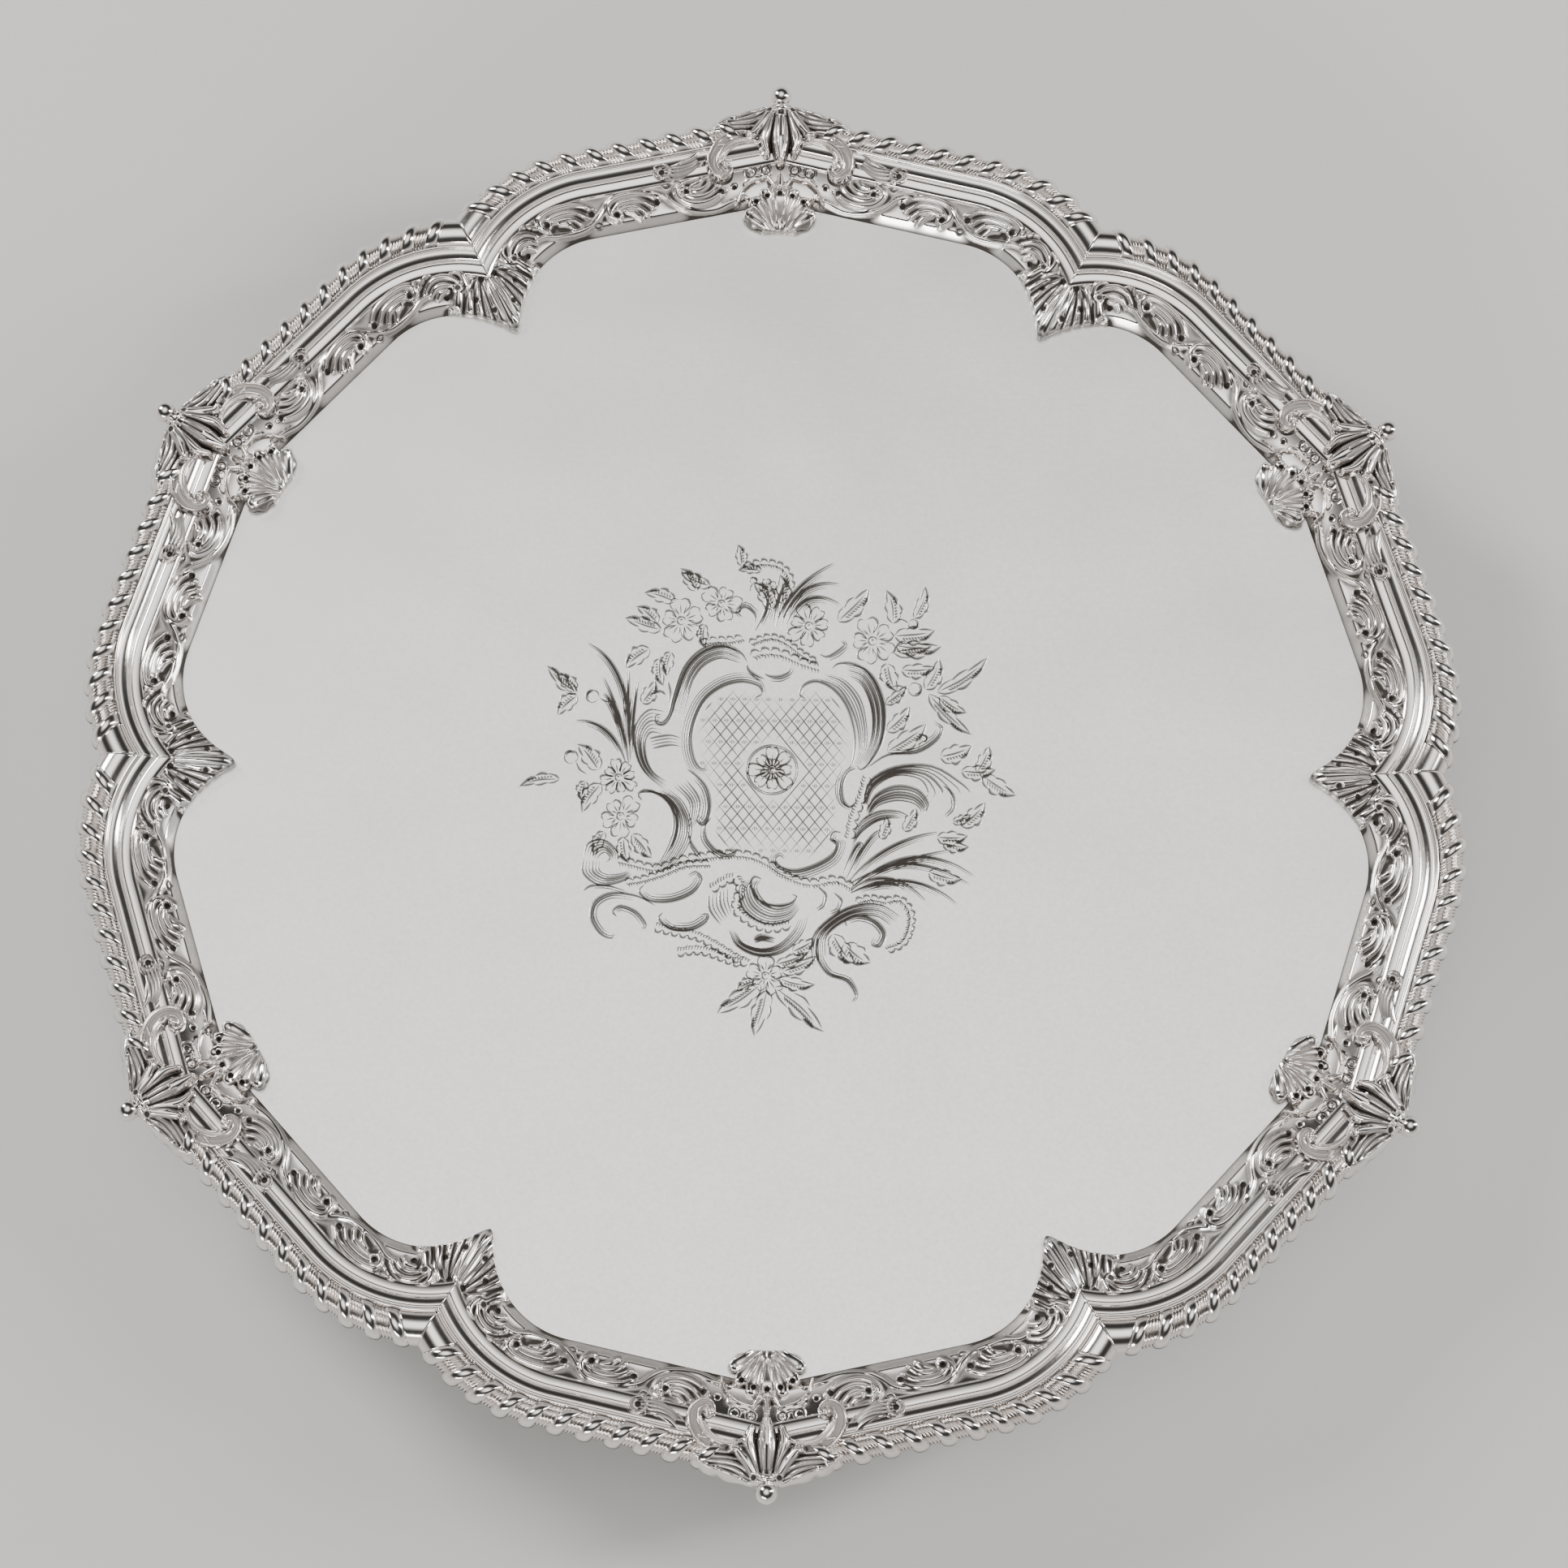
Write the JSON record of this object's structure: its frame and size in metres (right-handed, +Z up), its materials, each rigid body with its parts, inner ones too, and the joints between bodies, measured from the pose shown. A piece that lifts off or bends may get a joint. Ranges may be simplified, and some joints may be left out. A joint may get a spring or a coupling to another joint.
{
  "type": "silver salver",
  "caption": "Footed silver tray with a six-cornered scalloped outline, chased frieze, gadrooned border, shell and scroll corners and an engraved centre.",
  "frame": {"origin": "on the table, under the middle of the tray", "axes": "+Z up out of the tray; +Y through a corner cartouche, the longest way across; +X through a notch between two corners"},
  "size_m": [0.3866, 0.4122, 0.0516],
  "materials": {
    "tray_silver": "satin",
    "frieze_silver": "satin",
    "border_silver": "polished",
    "cartouche_silver": "polished",
    "foot_silver": "polished"
  },
  "bodies": {
    "root": {"plate": "tray_silver", "frieze_section_1": "frieze_silver", "frieze_section_2": "frieze_silver", "frieze_section_3": "frieze_silver", "frieze_section_4": "frieze_silver", "frieze_section_5": "frieze_silver", "frieze_section_6": "frieze_silver", "frieze_section_7": "frieze_silver", "frieze_section_8": "frieze_silver", "frieze_section_9": "frieze_silver", "frieze_section_10": "frieze_silver", "frieze_section_11": "frieze_silver", "frieze_section_12": "frieze_silver", "border_section_1": "border_silver", "border_section_2": "border_silver", "border_section_3": "border_silver", "border_section_4": "border_silver", "border_section_5": "border_silver", "border_section_6": "border_silver", "border_section_7": "border_silver", "border_section_8": "border_silver", "border_section_9": "border_silver", "border_section_10": "border_silver", "border_section_11": "border_silver", "border_section_12": "border_silver", "corner_cartouche_1": "cartouche_silver", "corner_cartouche_2": "cartouche_silver", "corner_cartouche_3": "cartouche_silver", "corner_cartouche_4": "cartouche_silver", "corner_cartouche_5": "cartouche_silver", "corner_cartouche_6": "cartouche_silver", "inner_shell_1": "cartouche_silver", "inner_shell_2": "cartouche_silver", "inner_shell_3": "cartouche_silver", "inner_shell_4": "cartouche_silver", "inner_shell_5": "cartouche_silver", "inner_shell_6": "cartouche_silver", "foot_1": "foot_silver", "foot_2": "foot_silver", "foot_3": "foot_silver", "foot_4": "foot_silver", "foot_5": "foot_silver", "foot_6": "foot_silver", "foot_backplate_1": "foot_silver", "foot_backplate_2": "foot_silver", "foot_backplate_3": "foot_silver", "foot_backplate_4": "foot_silver", "foot_backplate_5": "foot_silver", "foot_backplate_6": "foot_silver"}
  },
  "joints": []
}
